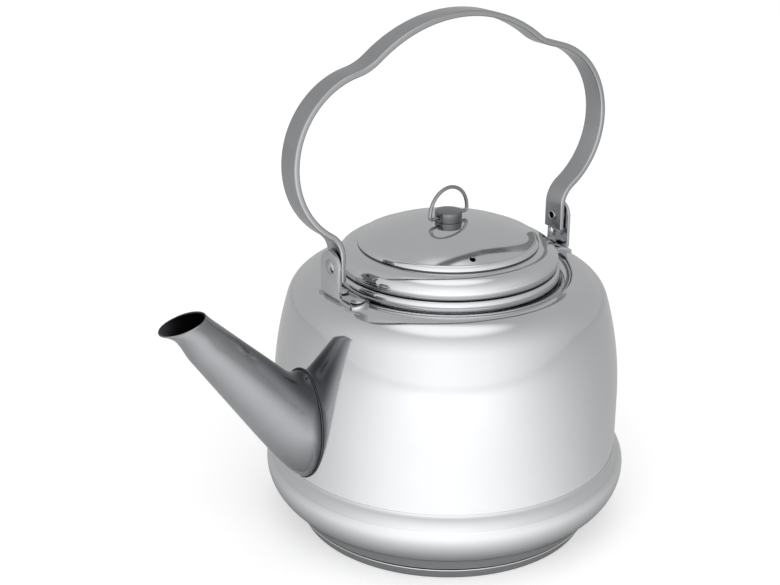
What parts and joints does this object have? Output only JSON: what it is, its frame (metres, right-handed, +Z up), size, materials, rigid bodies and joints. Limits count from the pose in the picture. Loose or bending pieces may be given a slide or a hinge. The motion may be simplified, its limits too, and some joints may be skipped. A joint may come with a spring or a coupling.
{
  "type": "tea kettle with bail handle",
  "caption": "Mirror-polished steel stove kettle with straight conical spout, flat bail handle swinging on riveted ears and a lift-off domed lid with knob and wire ring",
  "frame": {"origin": "centre of the foot's underside, on the floor", "axes": "+Z up, +X towards the spout, +Y to the side seen in the picture; the bail turns about a line along X"},
  "size_m": [0.2622, 0.19, 0.2705],
  "materials": {
    "steel": "mirror-polished stainless steel, fine buffing lines",
    "satin": "stainless steel rivets and small parts, tumbled bright",
    "core": "plain aluminium disc inside the base"
  },
  "bodies": {
    "kettle": {"body_shell": "steel", "base_pan": "steel", "heat_core": "core", "foot_cap": "steel", "rim_bead": "steel", "spout_tube": "steel", "spout_weld": "satin", "ear_front": "steel", "ear_rear": "steel", "ear_rivets_front": "satin", "ear_rivets_rear": "satin", "pivot_rivet_front": "satin", "pivot_rivet_rear": "satin", "pivot_washer_front": "satin", "pivot_washer_rear": "satin"},
    "bail": {"bail": "steel"},
    "lid": {"lid_shell": "steel", "lid_plug": "steel", "knob": "satin", "knob_rivet": "satin", "knob_washer": "satin"},
    "ring": {"knob_ring": "steel"}
  },
  "joints": [
    {"name": "bail_swing", "type": "hinge", "parent": "kettle", "child": "bail", "pos_m": [0, 0, 0.1532], "axis": [1, 0, 0], "range_deg": [-100, 100]},
    {"name": "lid_lift", "type": "slide", "parent": "kettle", "child": "lid", "axis": [0, 0, 1], "range_m": [0, 0.06]},
    {"name": "ring_flip", "type": "hinge", "parent": "lid", "child": "ring", "pos_m": [0, 0, 0.16604], "axis": [0.9925, 0.1219, 0], "range_deg": [-95, 95]}
  ]
}
